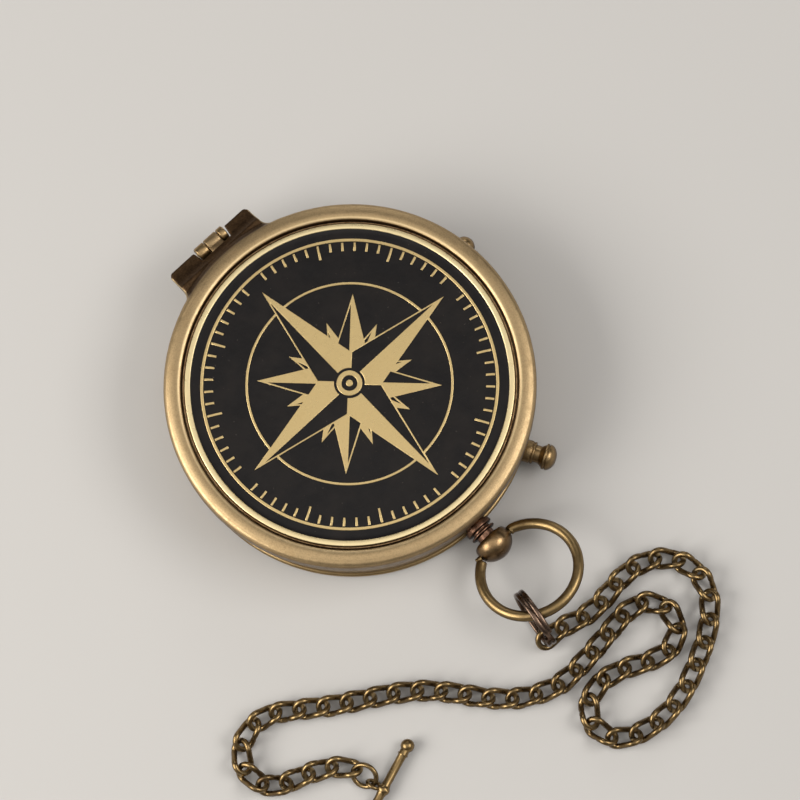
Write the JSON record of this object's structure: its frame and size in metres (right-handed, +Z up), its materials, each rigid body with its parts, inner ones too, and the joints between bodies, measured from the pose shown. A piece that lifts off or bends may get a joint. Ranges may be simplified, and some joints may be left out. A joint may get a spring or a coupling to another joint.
{
  "type": "pocket compass",
  "caption": "Round pocket compass in aged brass with a hinged enamelled lid, needle arrest and check buttons, a stem with a bow, a split ring and a fob chain with a T-bar.",
  "frame": {"origin": "centre of the flat underside of the case, where it rests on the table", "axes": "+Z up through the dial and lid, +Y from the dial's centre towards the lid hinge, -Y towards the stem and bow"},
  "size_m": [0.1102, 0.1357, 0.0186],
  "materials": {
    "case_brass": "aged satin brass",
    "lid_brass": "aged satin brass, worn bright on the crest",
    "dark_brass": "dark patinated brass",
    "dark_copper": "dark copper-toned patina",
    "bright_brass": "satin brass",
    "bow_brass": "aged brass wire",
    "chain_bronze": "antique bronze plating",
    "relief_brass": "polished brass with fine grain",
    "enamel": "black cold enamel",
    "dial_print": "printed card",
    "scale_metal": "silvered brass with engraved scale",
    "steel": "plain steel",
    "blued_steel": "blued steel",
    "needle_steel": "blued steel, red north half",
    "crystal": "clear mineral glass",
    "jewel": "synthetic ruby"
  },
  "bodies": {
    "case": {"case_body": "case_brass", "hinge_lug": "dark_brass", "hinge_pin": "bright_brass", "pendant_neck": "dark_copper", "pendant_nut": "dark_brass", "pendant_ball": "case_brass", "dial_pillars": "bright_brass", "dial_plate": "bright_brass", "dial_card": "dial_print", "graduation_ring": "scale_metal", "dial_screws": "blued_steel", "pivot_stud": "bright_brass", "pivot_pin": "steel", "spacer_ring": "case_brass", "crystal": "crystal", "bezel_ring": "bright_brass", "arrest_bush": "case_brass", "check_bush": "case_brass", "lift_bracket": "bright_brass", "brake_bracket": "bright_brass", "fulcrum_pins": "steel", "check_spring": "steel", "chain_lead": "chain_bronze", "chain_links": "chain_bronze", "chain_end_ring": "chain_bronze", "t_bar": "chain_bronze"},
    "lid": {"lid_shell": "lid_brass", "lid_plate": "relief_brass", "lid_enamel": "enamel"},
    "bow": {"bow_ring": "bow_brass", "split_ring": "chain_bronze"},
    "jewel": {"cap_jewel": "jewel"},
    "compass_needle": {"needle": "needle_steel", "needle_cap": "bright_brass"},
    "sleeve": {"lift_sleeve": "bright_brass"},
    "lift_arm": {"lift_lever": "bright_brass"},
    "arrest": {"arrest_knob": "case_brass", "arrest_clip": "steel"},
    "check": {"check_button": "case_brass", "check_clip": "steel"},
    "brake": {"brake_lever": "bright_brass"}
  },
  "joints": [
    {"name": "lid_hinge", "type": "hinge", "parent": "case", "child": "lid", "pos_m": [0, 0.0418, 0.01375], "axis": [-1, 0, 0], "range_deg": [0, 115]},
    {"name": "bow_swing", "type": "hinge", "parent": "case", "child": "bow", "pos_m": [0, -0.0422, 0.005], "axis": [-1, 0, 0], "range_deg": [0, 75], "deforming": ["chain_lead"]},
    {"name": "arrest_slide", "type": "slide", "parent": "case", "child": "arrest", "axis": [-0.4848, 0.8746, 0], "range_m": [0, 0.001]},
    {"name": "lift_lever_tilt", "type": "hinge", "parent": "case", "child": "lift_arm", "pos_m": [0.00582, -0.0105, 0.00365], "axis": [0.8746, 0.4848, 0], "range_deg": [0, 3.05]},
    {"name": "sleeve_lift", "type": "slide", "parent": "case", "child": "sleeve", "axis": [0, 0, 1], "range_m": [0, 0.00073]},
    {"name": "jewel_lift", "type": "slide", "parent": "case", "child": "jewel", "axis": [0, 0, 1], "range_m": [0, 0.00051]},
    {"name": "needle_spin", "type": "hinge", "parent": "jewel", "child": "compass_needle", "pos_m": [0, 0, 0.0094], "axis": [0, 0, 1], "continuous": true},
    {"name": "check_slide", "type": "slide", "parent": "case", "child": "check", "axis": [-0.9816, -0.1908, 0], "range_m": [0, 0.0008], "stiffness_N_per_m": 300, "springref_m": -0.0005, "deforming": ["check_spring"]},
    {"name": "brake_lever_tilt", "type": "hinge", "parent": "case", "child": "brake", "pos_m": [0.01472, 0.00286, 0.00365], "axis": [-0.1908, 0.9816, 0], "range_deg": [0, 2.55]}
  ],
  "couplings": [
    {"joint": "lift_lever_tilt", "follows": "arrest_slide", "rad_per_m": 52.36},
    {"joint": "sleeve_lift", "follows": "arrest_slide", "ratio": 0.72},
    {"joint": "jewel_lift", "follows": "arrest_slide", "ratio": 0.5},
    {"joint": "brake_lever_tilt", "follows": "check_slide", "rad_per_m": 54.5}
  ]
}
